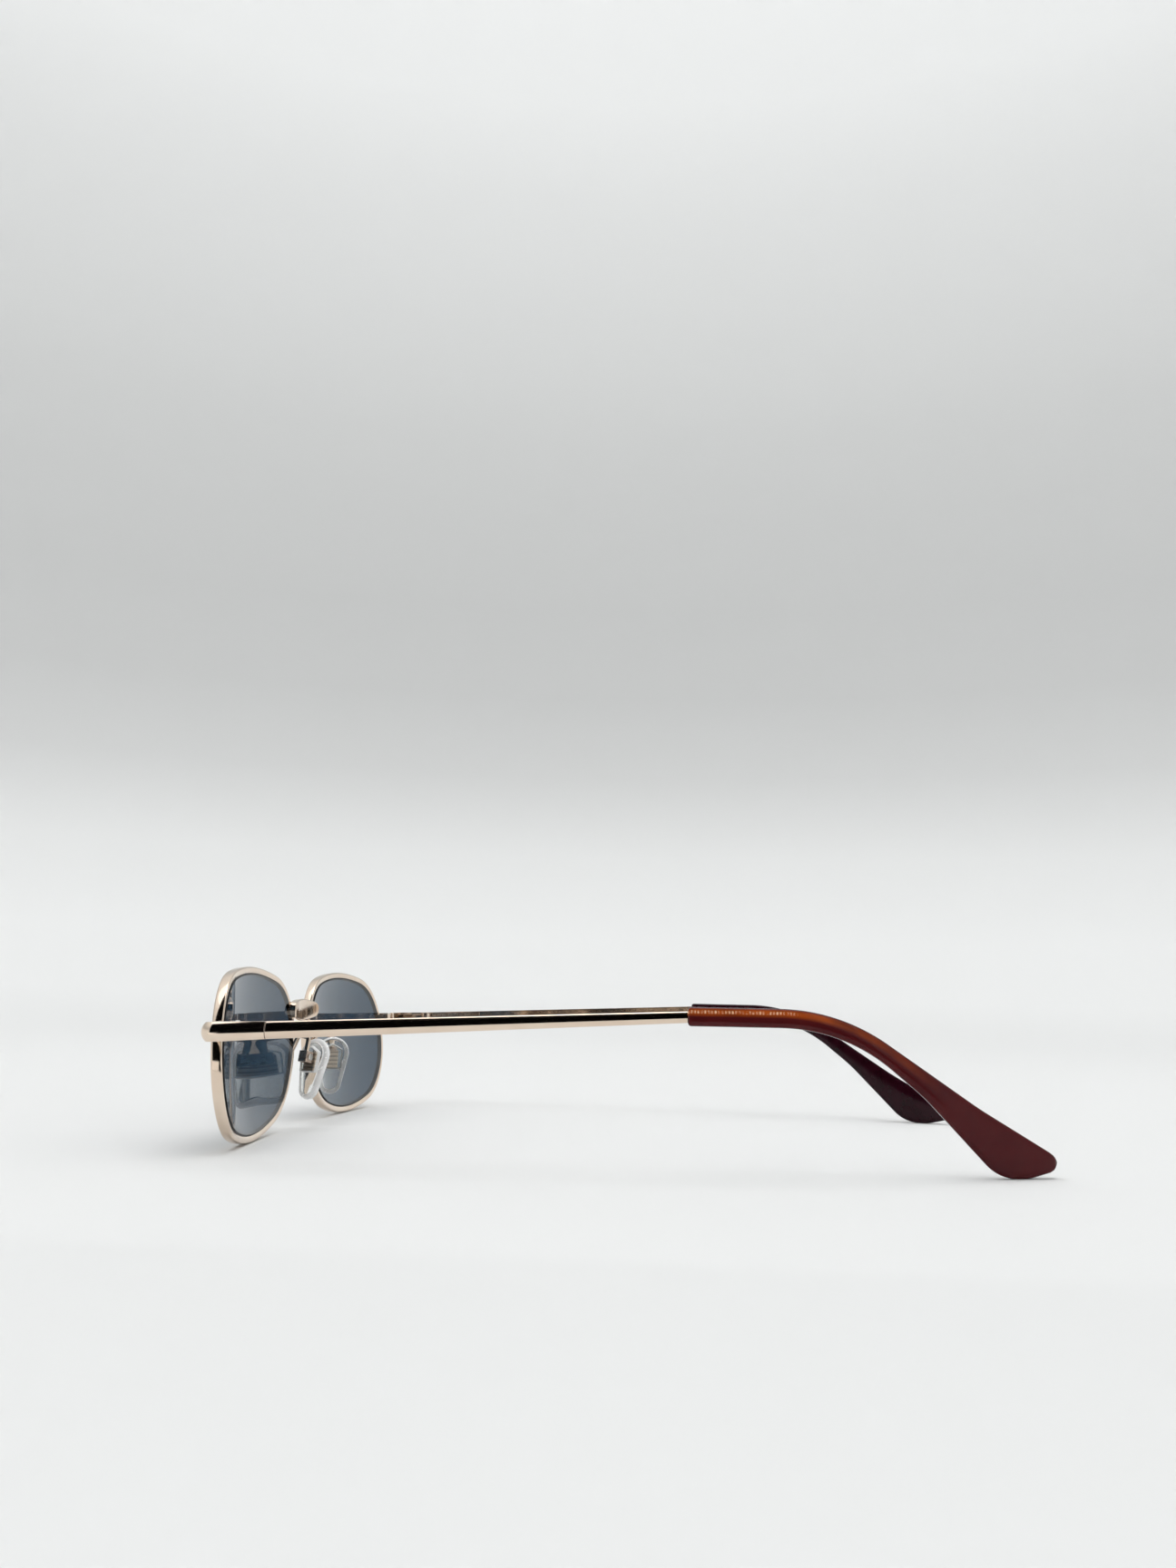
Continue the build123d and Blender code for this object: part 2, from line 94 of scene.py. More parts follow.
class Recipe:
    """A material's node tree, with short calls to add nodes and join them."""

    def __init__(self, name: str) -> None:
        """Starts a material with one Principled shader.

        Args:
            name: The material's name.
        """
        self.material = bpy.data.materials.new(name)
        self.material.use_nodes = True
        self.tree = self.material.node_tree
        self.shader = next(node for node in self.tree.nodes if node.type == "BSDF_PRINCIPLED")
        self.place = self.tree.nodes.new("ShaderNodeTexCoord").outputs["Object"]
        self.rounding: Socket | None = None

    def fill(self, node: bpy.types.Node, inputs: dict[str, object]) -> bpy.types.Node:
        """Sets a node's inputs to values, or joins them to other nodes' outputs.

        Args:
            node: The node.
            inputs: The inputs' names, each with its value or output.

        Returns:
            The node.
        """
        for name, value in inputs.items():
            socket = node.inputs[name]
            if isinstance(value, Socket):
                self.tree.links.new(value, socket)
            else:
                socket.default_value = (*value, 1.0) if socket.type == "RGBA" else value
        return node

    def add(self, kind: str, inputs: dict[str, object]) -> bpy.types.Node:
        """Adds a shader node of that kind and fills its inputs."""
        return self.fill(self.tree.nodes.new(f"ShaderNode{kind}"), inputs)

    def shade(self, inputs: dict[str, object]) -> None:
        """Fills the inputs of the shader itself."""
        self.fill(self.shader, inputs)

    def noise(self, size_mm: float, detail: float = 3.0, stretch: Point = EVEN) -> Socket:
        """Adds a noise texture in the row frame.

        Args:
            size_mm: The size of one blotch in millimetres.
            detail: How many finer layers there are.
            stretch: How many times longer a blotch is along X, Y and Z.

        Returns:
            The noise's grey output.
        """
        scale = [1.0 / (size_mm * MM * length) for length in stretch]
        mapping = self.add("Mapping", {"Vector": self.place, "Scale": scale})
        return self.add("TexNoise", {"Vector": mapping.outputs["Vector"], "Scale": 1.0,
                                     "Detail": detail}).outputs["Fac"]

    def spread(self, source: Socket, low: float, high: float, span: Flat = NOISE_SPAN) -> Socket:
        """Maps a grey value that runs over the span to one that runs from low to high."""
        return self.add("MapRange", {"Value": source, "From Min": span[0], "From Max": span[1],
                                     "To Min": low, "To Max": high}).outputs["Result"]

    def ramp(self, source: Socket, stops: list[tuple[float, Colour]]) -> Socket:
        """Colours a grey value.

        Args:
            source: The grey output to colour.
            stops: Places from 0 to 1 and their colours.

        Returns:
            The colour output.
        """
        node = self.add("ValToRGB", {"Fac": source})
        elements = node.color_ramp.elements
        while len(elements) < len(stops):
            elements.new(0.5)
        for element, (place, colour) in zip(elements, stops):
            element.position = place
            element.color = (*colour, 1.0)
        return node.outputs["Color"]

    def drift(self, source: Socket, first: Colour, second: Colour, span: Flat = NOISE_SPAN) -> Socket:
        """Colours a grey value: first up to the span's start, second from its end."""
        return self.ramp(source, list(zip(span, (first, second))))

    def bump(self, height: Socket, depth_mm: float) -> None:
        """Bends the shading by a height.

        Args:
            height: The grey output that stands for the height.
            depth_mm: The depth between black and white in millimetres.
        """
        node = self.add("Bump", {"Height": height, "Distance": depth_mm * MM, "Strength": 1.0})
        if self.rounding is not None:
            self.fill(node, {"Normal": self.rounding})
        self.shade({"Normal": node.outputs["Normal"]})

    def soften(self, radius_mm: float, samples: int = 6) -> None:
        """Makes edges catch the light as if they were rounded; call it before bump.

        Args:
            radius_mm: The rounding's radius in millimetres.
            samples: How many rays look for the edge.
        """
        node = self.add("Bevel", {"Radius": radius_mm * MM})
        node.samples = samples
        self.rounding = node.outputs["Normal"]

    def height(self) -> Socket:
        """The grey output of the height above the floor, in metres."""
        return self.add("SeparateXYZ", {"Vector": self.place}).outputs["Z"]

    def stripes(self, pitch_mm: float, axis: Axis, wobble: float = 0.0) -> Socket:
        """Adds fine stripes, one after the other along an axis.

        Args:
            pitch_mm: The distance from one stripe to the next in millimetres.
            axis: The axis that the stripes cross.
            wobble: How far the stripes stray from straight.

        Returns:
            The stripes' grey output.
        """
        unit_scale, wobbles_per_stripe = math.tau / 20.0, 0.4
        pitch = pitch_mm * MM
        waves = self.add("TexWave", {"Vector": self.place, "Scale": unit_scale / pitch, "Distortion": wobble,
                                     "Detail Scale": wobbles_per_stripe / pitch})
        waves.bands_direction = axis.value
        return waves.outputs["Fac"]

    def product(self, *factors: Socket) -> Socket:
        """Multiplies grey values.

        Args:
            factors: The grey outputs.

        Returns:
            The product's output.
        """
        result = factors[0]
        for factor in factors[1:]:
            node = self.add("Math", {})
            node.operation = "MULTIPLY"
            self.tree.links.new(result, node.inputs[0])
            self.tree.links.new(factor, node.inputs[1])
            result = node.outputs[0]
        return result

    def reading(self, attribute: str) -> Socket:
        """Reads a mesh attribute.

        Args:
            attribute: The attribute's name.

        Returns:
            Its grey output.
        """
        node = self.add("Attribute", {})
        node.attribute_name = attribute
        return node.outputs["Fac"]

    def mix(self, share: Socket, first: Socket, second: Socket) -> Socket:
        """Blends two colours.

        Args:
            share: The grey output that is 1 where the second colour shows.
            first: The first colour's output.
            second: The second colour's output.

        Returns:
            The blended colour's output.
        """
        node = self.add("Mix", {})
        node.data_type = "RGBA"
        colours = [socket for socket in node.inputs if socket.type == "RGBA"]
        for source, socket in zip((share, first, second), (node.inputs[0], *colours)):
            self.tree.links.new(source, socket)
        return next(socket for socket in node.outputs if socket.type == "RGBA")


@dataclass(frozen=True)
class Skin:
    """A surface's fine marks: patches of more and of less gloss, and a grain in relief."""

    smooth: float
    dull: float
    patch_mm: float
    grain_mm: float
    depth_mm: float
    patch_detail: float = 3.0
    grain_detail: float = 3.0
    stretch: Point = EVEN

    def lay(self, recipe: Recipe) -> None:
        """Lays the skin on a recipe's shader.

        Args:
            recipe: The recipe.
        """
        patches = recipe.noise(self.patch_mm, self.patch_detail)
        recipe.shade({"Roughness": recipe.spread(patches, self.smooth, self.dull)})
        recipe.bump(recipe.noise(self.grain_mm, self.grain_detail, self.stretch), self.depth_mm)


METAL_SKIN = Skin(smooth=0.05, dull=0.11, patch_mm=1.5, grain_mm=0.6, depth_mm=0.0004, patch_detail=4.0,
                  grain_detail=2.0, stretch=(1.0, 6.0, 1.0))
PAD_SKIN = Skin(smooth=0.03, dull=0.09, patch_mm=0.8, grain_mm=0.35, depth_mm=0.001)
FROSTED_SKIN = replace(PAD_SKIN, smooth=0.15, dull=0.3, depth_mm=0.002)
GROUND_SKIN = Skin(smooth=0.25, dull=0.4, patch_mm=0.6, grain_mm=0.2, depth_mm=0.002, grain_detail=2.0)
SLEEVE_SKIN = Skin(smooth=0.06, dull=0.12, patch_mm=4.0, grain_mm=3.0, depth_mm=0.0006, grain_detail=1.0)


@dataclass(frozen=True)
class Finish(ABC):
    """A finish: a name and a way to make its material."""

    name: str

    @abstractmethod
    def material(self) -> bpy.types.Material:
        """Makes the material."""


@dataclass(frozen=True)
class PlatedMetal(Finish):
    """Polished plating over a drawn or stamped base, with faint polishing marks."""

    colour: Colour = (0.80, 0.67, 0.55)
    shade: Colour = (0.76, 0.62, 0.50)
    skin: Skin = METAL_SKIN
    edge_mm: float = 0.15
    drift_mm: float = 6.0
    drift_detail: float = 2.0
    drift_span: Flat = (0.35, 0.65)

    def material(self) -> bpy.types.Material:
        """Makes the material.

        Returns:
            A metal whose colour and gloss drift a little along its length.
        """
        recipe = Recipe(self.name)
        drift = recipe.noise(self.drift_mm, self.drift_detail)
        tint = recipe.drift(drift, self.shade, self.colour, self.drift_span)
        recipe.shade({"Metallic": 1.0, "Base Color": tint})
        recipe.soften(self.edge_mm)
        self.skin.lay(recipe)
        return recipe.material


@dataclass(frozen=True)
class SmokeLens(Finish):
    """Evenly tinted grey lens plastic, glossy on both faces."""

    tint: Colour = (0.036, 0.065, 0.100)
    shade_share: float = 0.96
    drift_mm: float = 22.0
    wave_mm: float = 9.0
    wave_depth_mm: float = 0.002

    def material(self) -> bpy.types.Material:
        """Makes the material.

        Returns:
            A clear shader with a grey tint and hardly any waviness.
        """
        recipe = Recipe(self.name)
        clouds = recipe.noise(self.drift_mm, detail=1.0)
        tint = recipe.drift(clouds, scaled(self.tint, self.shade_share), self.tint)
        recipe.shade({"Transmission Weight": 1.0, "IOR": 1.5, "Roughness": 0.0, "Base Color": tint})
        recipe.bump(recipe.noise(self.wave_mm, detail=1.0), self.wave_depth_mm)
        return recipe.material


@dataclass(frozen=True)
class PadPlastic(Finish):
    """Clear moulded pad plastic with a slightly soft surface, or its frosted, milky edges, whose whiteness is
    a painted highlight for the bright rim where they gather the light.
    """

    tint: Colour = (0.95, 0.96, 0.95)
    shade_share: float = 0.95
    clearness: float = 1.0
    drift_mm: float = 4.0
    skin: Skin = PAD_SKIN

    def material(self) -> bpy.types.Material:
        """Makes the material.

        Returns:
            A clear or milky shader with a fine moulded skin.
        """
        recipe = Recipe(self.name)
        tint = recipe.drift(recipe.noise(self.drift_mm), scaled(self.tint, self.shade_share), self.tint)
        recipe.shade({"Transmission Weight": self.clearness, "IOR": 1.45, "Base Color": tint})
        self.skin.lay(recipe)
        return recipe.material


@dataclass(frozen=True)
class RibbedMetal(Finish):
    """Plated sheet pressed into level ribs, as in the plate moulded into a pad."""

    colour: Colour = (0.80, 0.67, 0.55)
    # painted shade: the darker colour that the grooves between the ribs take
    shade: Colour = (0.46, 0.37, 0.30)
    rib_mm: float = 0.9
    rib_depth_mm: float = 0.05
    groove_shade_span: Flat = (0.15, 0.45)
    smooth: float = 0.42
    dull: float = 0.58
    patch_mm: float = 1.0

    def material(self) -> bpy.types.Material:
        """Makes the material.

        Returns:
            A satin metal with painted shade darkening the grooves between its ribs.
        """
        recipe = Recipe(self.name)
        ribs = recipe.stripes(self.rib_mm, Axis.Z)
        # painted shade: the grooves between the ribs take the darker colour, standing in for the shade in
        # them
        tint = recipe.drift(ribs, self.shade, self.colour, self.groove_shade_span)
        gloss = recipe.spread(recipe.noise(self.patch_mm), self.smooth, self.dull)
        recipe.shade({"Metallic": 1.0, "Base Color": tint, "Roughness": gloss})
        recipe.bump(ribs, self.rib_depth_mm)
        return recipe.material


@dataclass(frozen=True)
class DarkEdge(Finish):
    """The near-black edge of a tinted lens: partly the ground edge's own dark, partly painted shade for the
    gap where it sits in the eyewire.
    """

    colour: Colour = (0.004, 0.004, 0.005)
    light_share: float = 2.0
    drift_mm: float = 1.2

    def material(self) -> bpy.types.Material:
        """Makes the material.

        Returns:
            A dark satin shader with fine grinding marks.
        """
        recipe = Recipe(self.name)
        tint = recipe.drift(recipe.noise(self.drift_mm), self.colour, scaled(self.colour, self.light_share))
        recipe.shade({"Specular IOR Level": 0.12, "Base Color": tint})
        GROUND_SKIN.lay(recipe)
        return recipe.material


@dataclass(frozen=True)
class TipSleeve(Finish):
    """Translucent red-brown sleeve plastic, with a painted amber band of light along the outer face over the
    core wire, a painted glint where its knurl shows through, and painted shade on the inner face.

    A foot, top or end is the span over which the amber band or the knurl fades, as shares of the sleeve's
    height or length.
    """

    # inner: the inner face's colour, painted darker as shade
    inner: Colour = (0.022, 0.003, 0.007)
    deep: Colour = (0.066, 0.006, 0.008)
    cloud: Colour = (0.088, 0.010, 0.011)
    # amber: the painted light through the top of the sleeve's outer face
    amber: Colour = (0.53, 0.094, 0.011)
    # gold: the painted highlight of the core wire's knurl seen through the plastic
    gold: Colour = (0.95, 0.62, 0.38)
    inner_share: float = 0.7
    amber_share: float = 0.45
    cloud_mm: float = 2.5
    cloud_stretch: Point = (1.0, 6.0, 3.0)
    amber_mm: float = 1.5
    amber_stretch: Point = (1.0, 8.0, 4.0)
    gold_mm: float = 1.0
    gold_span: Flat = (0.35, 0.55)
    outside: Flat = (0.35, 0.65)
    band_foot: Flat = (0.50, 0.70)
    band_top: Flat = (0.84, 0.98)
    band_end: Flat = (0.25, 0.68)
    knurl_foot: Flat = (0.66, 0.72)
    knurl_top: Flat = (0.80, 0.86)
    knurl_end: Flat = (0.27, 0.30)
    knurl_mm: float = 0.6
    knurl_wobble: float = 3.0
    knurl_span: Flat = (0.3, 0.6)
    # sizes over which the painted knurl glint is broken up at random
    glint_breakup_mm: float = 0.9
    glint_breakup_least: float = 0.25
    glint_breakup_span: Flat = (0.38, 0.5)

    def patch(self, recipe: Recipe, outside: Socket, foot: Flat, top: Flat, end: Flat) -> Socket:
        """Marks a stretch of the sleeve's outer face.

        Args:
            recipe: The recipe.
            outside: The grey output that is 1 on the outer face.
            foot: Where the stretch fades in, as shares of the sleeve's height.
            top: Where it fades out above.
            end: Where it fades out to the rear, as shares of the sleeve's length.

        Returns:
            The grey output that is 1 on the stretch.
        """
        rise, run = recipe.reading("rise"), recipe.reading("run")
        fades = ((rise, 0.0, 1.0, foot), (rise, 1.0, 0.0, top), (run, 1.0, 0.0, end))
        return recipe.product(outside, *(recipe.spread(*fade) for fade in fades))

    def material(self) -> bpy.types.Material:
        """Makes the material, which reads the attributes "rise", "run" and "face".

        Returns:
            A translucent shader with cloudy streaks, a painted amber band of light, painted shade on the
            inner face and a painted glint of the knurled core under it.
        """
        recipe = Recipe(self.name)
        outside = recipe.spread(recipe.reading("face"), 0.0, 1.0, self.outside)
        streaks = recipe.drift(recipe.noise(self.cloud_mm, stretch=self.cloud_stretch), self.deep, self.cloud)
        # painted shade: the inner face is coloured darker than the outer
        painted_inner_shade = recipe.drift(recipe.noise(self.cloud_mm), scaled(self.inner, self.inner_share), self.inner)
        # painted light: an amber band along the upper outer face, for light from above passing through the
        # plastic
        painted_amber_light = recipe.drift(recipe.noise(self.amber_mm, detail=4.0, stretch=self.amber_stretch),
                            scaled(self.amber, self.amber_share), self.amber)
        band = self.patch(recipe, outside, self.band_foot, self.band_top, self.band_end)
        body = recipe.mix(band, recipe.mix(outside, painted_inner_shade, streaks), painted_amber_light)
        # painted highlight: the real core wire's knurl is painted as bright gold stripes seen through the
        # plastic, broken up at random
        core = self.patch(recipe, outside, self.knurl_foot, self.knurl_top, self.knurl_end)
        stripes = recipe.stripes(self.knurl_mm, Axis.Y, self.knurl_wobble)
        glint_breakup = recipe.spread(recipe.noise(self.glint_breakup_mm, detail=2.0), self.glint_breakup_least, 1.0, self.glint_breakup_span)
        knurl = recipe.product(core, recipe.spread(stripes, 0.0, 1.0, self.knurl_span), glint_breakup)
        painted_core_glint = recipe.drift(recipe.noise(self.gold_mm), self.amber, self.gold, self.gold_span)
        recipe.shade({"Transmission Weight": 0.12, "IOR": 1.49, "Specular IOR Level": 0.12,
                      "Base Color": recipe.mix(knurl, body, painted_core_glint)})
        SLEEVE_SKIN.lay(recipe)
        return recipe.material


@dataclass(frozen=True)
class PaleSheet(Finish):
    """The studio's matt paper, white on the floor and graded behind with painted shade: darker at mid heights
    of the wall and lighter above, for how the light falls over the sweep.

    Each of the painted shades is a height in metres and how light the paper is painted there.
    """

    reach: float = 1.5
    painted_shades: tuple[Flat, ...] = ((0.0, 0.77), (0.03, 0.82), (0.09, 0.825), (0.196, 0.775), (0.32, 0.635),
                                (0.45, 0.58), (0.60, 0.585), (0.76, 0.63), (1.0, 0.72), (1.25, 0.80),
                                (1.5, 0.88))
    cast: Colour = (1.0, 1.008, 1.0)
    fibre_mm: float = 1.2
    fibre_depth_mm: float = 0.01

    def material(self) -> bpy.types.Material:
        """Makes the material.

        Returns:
            A matt paper whose painted shade follows the height above the floor.
        """
        recipe = Recipe(self.name)
        share = recipe.spread(recipe.height(), 0.0, 1.0, (0.0, self.reach))
        # painted shade: the paper's colour is graded by height to stand in for the light falling off over the
        # wall
        stops = [(level / self.reach, scaled(self.cast, shade)) for level, shade in self.painted_shades]
        recipe.shade({"Roughness": 0.8, "Specular IOR Level": 0.2, "Base Color": recipe.ramp(share, stops)})
        recipe.bump(recipe.noise(self.fibre_mm), self.fibre_depth_mm)
        return recipe.material


FRAME_METAL = PlatedMetal("champagne_plating")
HINGE_METAL = PlatedMetal("satin_champagne", (0.74, 0.63, 0.53), (0.60, 0.48, 0.39), edge_mm=0.1,
                          skin=replace(METAL_SKIN, smooth=0.12, dull=0.24, grain_mm=0.5, depth_mm=0.0008))
SCREW_METAL = PlatedMetal("turned_steel", (0.80, 0.78, 0.75), (0.70, 0.68, 0.65), edge_mm=0.06,
                          skin=replace(METAL_SKIN, smooth=0.10, dull=0.20, grain_mm=0.4, depth_mm=0.0005))
DARK_METAL = PlatedMetal("dark_nickel", (0.66, 0.53, 0.44), (0.50, 0.39, 0.32), edge_mm=0.08,
                         skin=replace(METAL_SKIN, smooth=0.22, dull=0.34, grain_mm=0.5, depth_mm=0.0006))
INSERT_METAL = RibbedMetal("ribbed_insert")
SMOKE = SmokeLens("smoke_lens_plastic")
CLEAR = PadPlastic("clear_pad_plastic")
# painted highlight: the pad edges are made milky white and less clear, for the bright rim that clear edges
# show
FROSTED_EDGE_HIGHLIGHT = PadPlastic("frosted_pad_edge_highlight", (0.97, 0.97, 0.97), shade_share=0.9, clearness=0.25, drift_mm=3.0,
                     skin=FROSTED_SKIN)
SLEEVE = TipSleeve("red_brown_sleeve")
# partly painted shade: near-black for the lens edge and for the gap between lens and eyewire
LENS_EDGE_AND_GAP_SHADE = DarkEdge("lens_edge_and_gap_shade")


def hang(name: str, data: bpy.types.ID) -> bpy.types.Object:
    """Puts a mesh, a lamp or a camera into the scene.

    Args:
        name: The object's name.
        data: What the object holds.

    Returns:
        The object.
    """
    thing = bpy.data.objects.new(name, data)
    bpy.context.scene.collection.objects.link(thing)
    return thing


def crisp(piece: bpy.types.Object, sharp_deg: float) -> None:
    """Shades a piece smoothly between crisp edges.

    Args:
        piece: The piece.
        sharp_deg: Edges that turn more than this stay crisp.
    """
    piece.data.shade_smooth()
    split = piece.modifiers.new("crisp_edges", "EDGE_SPLIT")
    split.split_angle = math.radians(sharp_deg)


class Dresser:
    """Hands out one material for each finish and dresses nodes with it."""

    weld_reach: float = 0.001 * MM
    sharp_deg: float = 32.0

    def __init__(self, nodes: dict[str, bpy.types.Object]) -> None:
        """Keeps the frame's nodes by name, and starts with no material made."""
        self.nodes = nodes
        self.made: dict[str, bpy.types.Material] = {}

    def material(self, finish: Finish) -> bpy.types.Material:
        """Finds a finish's material, which is made once.

        Args:
            finish: The finish.

        Returns:
            The material.
        """
        if finish.name not in self.made:
            self.made[finish.name] = finish.material()
        return self.made[finish.name]

    def dress(self, finish: Finish, *names: str) -> None:
        """Gives CAD nodes their material and smooth shading with crisp edges.

        Args:
            finish: The finish for them all.
            names: The nodes' names.
        """
        for name in names:
            node = self.nodes[name]
            for slot in node.material_slots:
                slot.material = self.material(finish)
            if not node.material_slots:
                node.data.materials.append(self.material(finish))
            node.modifiers.new("weld", "WELD").merge_threshold = self.weld_reach
            crisp(node, self.sharp_deg)
            log.info("%s: %s", name, finish.name)

    def stand_in(self, piece: bpy.types.Object, node: str, body: str) -> bpy.types.Object:
        """Lets a piece stand for a CAD node.

        Args:
            piece: The piece.
            node: The CAD node that it replaces.
            body: The body that it rides on.

        Returns:
            The piece.
        """
        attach(piece, body)
        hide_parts(node)
        log.info("%s: stands for %s", piece.name, node)
        return piece


def rounded(corners: list[tuple[float, float, float]], steps: int = 5) -> list[Flat]:
    """Rounds a closed outline's corners.

    Args:
        corners: Each corner's two coordinates and its radius, in order.
        steps: How many pieces each rounding has.

    Returns:
        The outline's points.
    """
    points: list[Flat] = []
    for k, (x, y, radius) in enumerate(corners):
        if radius <= 0.0:
            points.append((x, y))
            continue
        here = Vector((x, y))
        before = (Vector(corners[k - 1][:2]) - here).normalized()
        after = (Vector(corners[(k + 1) % len(corners)][:2]) - here).normalized()
        half = before.angle(after) / 2.0
        centre = here + (before + after).normalized() * (radius / math.sin(half))
        start, end = (here + way * (radius / math.tan(half)) - centre for way in (before, after))
        turn = math.atan2(start.x * end.y - start.y * end.x, start.dot(end))
        for step in range(steps + 1):
            points.append(tuple(centre + Matrix.Rotation(turn * step / steps, 2) @ start))
    return points


class MeshPiece:
    """A mesh under way: vertices, faces with their finish, and grey readings at the vertices."""

    def __init__(self, name: str) -> None:
        """Starts an empty piece.

        Args:
            name: The piece's name.
        """
        self.name = name
        self.points: list[Point] = []
        self.faces: list[tuple[int, ...]] = []
        self.finishes: list[int] = []
        self.readings: dict[str, list[float]] = {}

    def ring(self, points: list[Point], **readings: float | list[float]) -> list[int]:
        """Adds a ring of vertices.

        Args:
            points: The vertices' places.
            readings: Grey values for the whole ring, or one for each vertex.

        Returns:
            The vertices' numbers.
        """
        start = len(self.points)
        self.points.extend(tuple(p) for p in points)
        for key, value in readings.items():
            held = self.readings.setdefault(key, [0.0] * start)
            held.extend(value if isinstance(value, list) else [value] * len(points))
        return list(range(start, start + len(points)))

    def face(self, numbers: list[int], finish: int = 0) -> None:
        """Adds one face, which may close a whole ring."""
        self.faces.append(tuple(numbers))
        self.finishes.append(finish)

    def bridge(self, first: list[int], second: list[int], finish: int = 0) -> None:
        """Joins two closed rings of the same length with a strip of faces.

        Args:
            first: One ring's vertices.
            second: The next ring's vertices.
            finish: The number of the faces' finish.
        """
        for k, number in enumerate(first):
            after = (k + 1) % len(first)
            self.face([number, first[after], second[after], second[k]], finish)

    def fan(self, ring: list[int], hub: Point) -> None:
        """Closes a ring with triangles that meet at a new vertex.

        Args:
            ring: The ring's vertices.
            hub: The new vertex's place.
        """
        middle = self.ring([hub])[0]
        for k, number in enumerate(ring):
            self.face([number, ring[(k + 1) % len(ring)], middle])

    def build(self, materials: list[bpy.types.Material], sharp_deg: float) -> bpy.types.Object:
        """Makes the object.

        Args:
            materials: The finishes' materials in order.
            sharp_deg: Edges that turn more than this stay crisp.

        Returns:
            The object, linked to the scene.
        """
        mesh = bpy.data.meshes.new(self.name)
        mesh.from_pydata(self.points, [], self.faces)
        for material in materials:
            mesh.materials.append(material)
        for polygon, finish in zip(mesh.polygons, self.finishes):
            polygon.material_index = finish
        for key, values in self.readings.items():
            mesh.attributes.new(key, "FLOAT", "POINT").data.foreach_set("value", values)
        model = bmesh.new()
        model.from_mesh(mesh)
        bmesh.ops.recalc_face_normals(model, faces=model.faces)
        model.to_mesh(mesh)
        model.free()
        piece = hang(self.name, mesh)
        crisp(piece, sharp_deg)
        return piece


@dataclass
class EyeFace:
    """The curved, tilted face that one eyewire and its lens share, with the eyewire's outline on it."""

    side: Side
    rim: bpy.types.Object
    lens: bpy.types.Object
    lens_width: float = 52.1 * MM
    lens_height: float = 32.3 * MM
    lens_gap: float = 13.5 * MM
    face_radius: float = 139.0 * MM
    tilt: float = math.radians(4.75)
    wrap: float = math.radians(4.05)
    rim_width: float = 1.35 * MM
    rim_depth: float = 2.1 * MM
    lens_front: float = 1.95 * MM
    stations: int = 260
    smoothing: int = 6

    def __post_init__(self) -> None:
        """Places the face: the CAD lens's front gives its depth, and the CAD eyewire its outline."""
        sign, tilt, wrap = self.side.value, self.tilt, self.wrap
        self.outward = Vector((sign * math.cos(wrap), math.sin(wrap), 0.0))
        self.forward = Vector((sign * math.sin(wrap) * math.cos(tilt), -math.cos(wrap) * math.cos(tilt),
                               -math.sin(tilt)))
        self.upward = self.forward.cross(self.outward) * sign
        rise = self.lens_height / 2.0 + self.rim_width
        sag = rise**2 / (2.0 * self.face_radius)
        self.centre = Vector((sign * (self.lens_gap + self.lens_width * math.cos(wrap)) / 2.0, 0.0,
                              rise * math.cos(tilt) + (self.rim_depth - sag) * math.sin(tilt)))
        reach = max(vertex.co.dot(self.forward) for vertex in self.lens.data.vertices) - self.lens_front
        self.centre.y = (reach - self.centre.dot(self.forward)) / self.forward.y
        self.outline = self.smooth_outline([self.flat(vertex.co) for vertex in self.rim.data.vertices])

    def flat(self, point: Vector) -> Vector:
        """The point's place across the face, outwards and upwards."""
        offset = point - self.centre
        return Vector((offset.dot(self.outward), offset.dot(self.upward)))

    def smooth_outline(self, points: list[Vector]) -> list[Vector]:
        """Draws an even, smooth loop round the points.

        Args:
            points: Places across the face.

        Returns:
            Evenly spaced points along the outermost loop.
        """
        hull = [points[k] for k in convex_hull_2d(points)]
        spans = [(hull[(k + 1) % len(hull)] - hull[k]).length for k in range(len(hull))]
        total, loop, edge, passed = sum(spans), [], 0, 0.0
        for k in range(self.stations):
            goal = total * k / self.stations
            while passed + spans[edge] < goal:
                passed += spans[edge]
                edge += 1
            loop.append(hull[edge].lerp(hull[(edge + 1) % len(hull)], (goal - passed) / spans[edge]))
        for _ in range(self.smoothing):
            loop = [(loop[k - 1] + loop[k] * 2.0 + loop[(k + 1) % len(loop)]) / 4.0 for k in range(len(loop))]
        return loop

    def inset(self, distance: float) -> list[Vector]:
        """Draws the outline in.

        Args:
            distance: How far in the new outline lies.

        Returns:
            The new outline's points, one for each of the outline's.
        """
        loop, drawn = self.outline, []
        for k, point in enumerate(loop):
            along = (loop[(k + 1) % len(loop)] - loop[k - 1]).normalized()
            inward = Vector((-along.y, along.x))
            drawn.append(point + inward * (distance if inward.dot(point) < 0.0 else -distance))
        return drawn

    def place(self, flat: Vector, depth: float) -> Vector:
        """The place in the row frame, that depth ahead of the face."""
        lift = math.sqrt((self.face_radius + depth)**2 - flat.length_squared) - self.face_radius
        return self.centre + self.outward * flat.x + self.upward * flat.y + self.forward * lift


